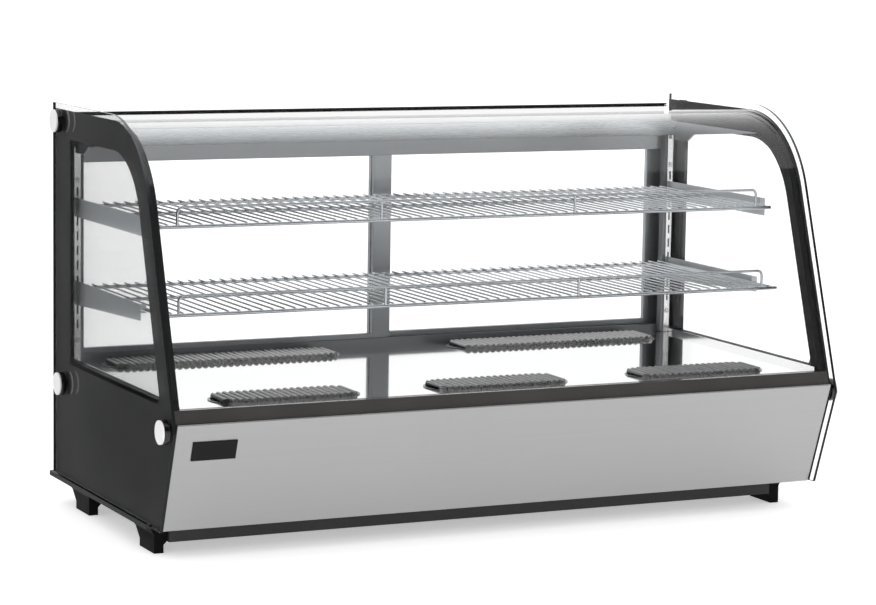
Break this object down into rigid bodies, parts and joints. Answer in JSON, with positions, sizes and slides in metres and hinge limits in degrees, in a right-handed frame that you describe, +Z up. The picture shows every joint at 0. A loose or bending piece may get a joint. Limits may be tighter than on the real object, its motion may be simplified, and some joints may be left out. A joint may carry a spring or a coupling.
{
  "type": "refrigerated deli display case",
  "caption": "Countertop refrigerated deli case with a curved front glass, printed side glasses, wire shelves and sliding rear doors.",
  "frame": {"origin": "on the counter under the middle of the case's overall box", "axes": "+X to the customer's right, +Y towards the operator at the rear, +Z up; the curved glass faces -Y"},
  "size_m": [1.224, 0.615, 0.688],
  "materials": {
    "clear_glass": "clear float glass",
    "charcoal_enamel": "ceramic print fired on glass",
    "black_paint": "satin powder coat",
    "black_gloss": "gloss",
    "stainless": "fine brushed",
    "polished_stainless": "bright polished",
    "satin_disc": "satin",
    "coated_wire": "light grey coating on steel wire",
    "grey_paint": "satin",
    "grey_plastic": "satin",
    "white_plastic": "satin",
    "black_plastic": "moulded, light texture",
    "seal_rubber": "matte",
    "fin_aluminium": "bare fins",
    "copper": "drawn copper tube",
    "zinc_screw": "bright zinc"
  },
  "bodies": {
    "case": {"side_glass_left": "clear_glass", "side_glass_right": "clear_glass", "side_enamel_left": "charcoal_enamel", "side_enamel_right": "charcoal_enamel", "side_frame_left": "black_paint", "side_frame_right": "black_paint", "side_pane_left": "clear_glass", "side_pane_right": "clear_glass", "side_wall_left": "stainless", "side_wall_right": "stainless", "standoff_caps": "black_gloss", "standoff_discs": "satin_disc", "front_glass": "clear_glass", "front_borders": "charcoal_enamel", "glass_rail": "black_gloss", "front_panel": "stainless", "badge_plate": "black_gloss", "base_pan": "black_paint", "foot_front_left": "black_plastic", "foot_front_right": "black_plastic", "foot_rear_left": "black_plastic", "foot_rear_right": "black_plastic", "deck_plate": "polished_stainless", "deck_vents": "polished_stainless", "shelf_upper": "coated_wire", "shelf_lower": "coated_wire", "shelf_brackets": "grey_paint", "pilasters": "grey_paint", "rear_post_left": "grey_paint", "rear_post_right": "grey_paint", "door_track_bottom": "grey_plastic", "door_track_top": "grey_plastic", "top_header": "grey_paint", "header_cover": "white_plastic", "glass_rear_seal": "seal_rubber", "header_brackets": "grey_paint", "led_lamp": "white_plastic", "insulation_tub": "white_plastic", "evaporator": "fin_aluminium", "fan_motors": "black_paint", "compressor": "black_paint", "condenser": "fin_aluminium", "refrigerant_lines": "copper", "condensate_tray": "black_plastic", "rear_panel": "stainless", "control_plate": "black_plastic", "cable_gland": "black_plastic", "screws": "zinc_screw"},
    "door_left": {"door_frame_left": "grey_plastic", "door_glass_left": "clear_glass", "door_pull_left": "black_plastic"},
    "door_right": {"door_frame_right": "grey_plastic", "door_glass_right": "clear_glass", "door_pull_right": "black_plastic"},
    "cold_fan_left": {"evaporator_fan_left": "black_plastic"},
    "cold_fan_right": {"evaporator_fan_right": "black_plastic"},
    "condenser_fan_rotor": {"condenser_fan": "black_plastic"},
    "thermostat": {"thermostat_knob": "black_plastic"},
    "power_rocker": {"power_switch": "black_gloss"},
    "light_rocker": {"light_switch": "black_gloss"}
  },
  "joints": [
    {"name": "door_left_slide", "type": "slide", "parent": "case", "child": "door_left", "axis": [1, 0, 0], "range_m": [0, 0.555]},
    {"name": "door_right_slide", "type": "slide", "parent": "case", "child": "door_right", "axis": [-1, 0, 0], "range_m": [0, 0.555]},
    {"name": "cold_fan_left_spin", "type": "hinge", "parent": "case", "child": "cold_fan_left", "pos_m": [-0.312, 0.175, 0.214], "axis": [0, 0, 1], "continuous": true},
    {"name": "cold_fan_right_spin", "type": "hinge", "parent": "case", "child": "cold_fan_right", "pos_m": [0.312, 0.175, 0.214], "axis": [0, 0, 1], "continuous": true},
    {"name": "condenser_fan_spin", "type": "hinge", "parent": "case", "child": "condenser_fan_rotor", "pos_m": [0.07, 0.13, 0.078], "axis": [1, 0, 0], "continuous": true},
    {"name": "thermostat_turn", "type": "hinge", "parent": "case", "child": "thermostat", "pos_m": [-0.325, 0.288, 0.15], "axis": [0, 1, 0], "range_deg": [0, 270]},
    {"name": "power_rock", "type": "hinge", "parent": "case", "child": "power_rocker", "pos_m": [-0.445, 0.287, 0.15], "axis": [1, 0, 0], "range_deg": [0, 20]},
    {"name": "light_rock", "type": "hinge", "parent": "case", "child": "light_rocker", "pos_m": [-0.405, 0.287, 0.15], "axis": [1, 0, 0], "range_deg": [0, 20]}
  ]
}
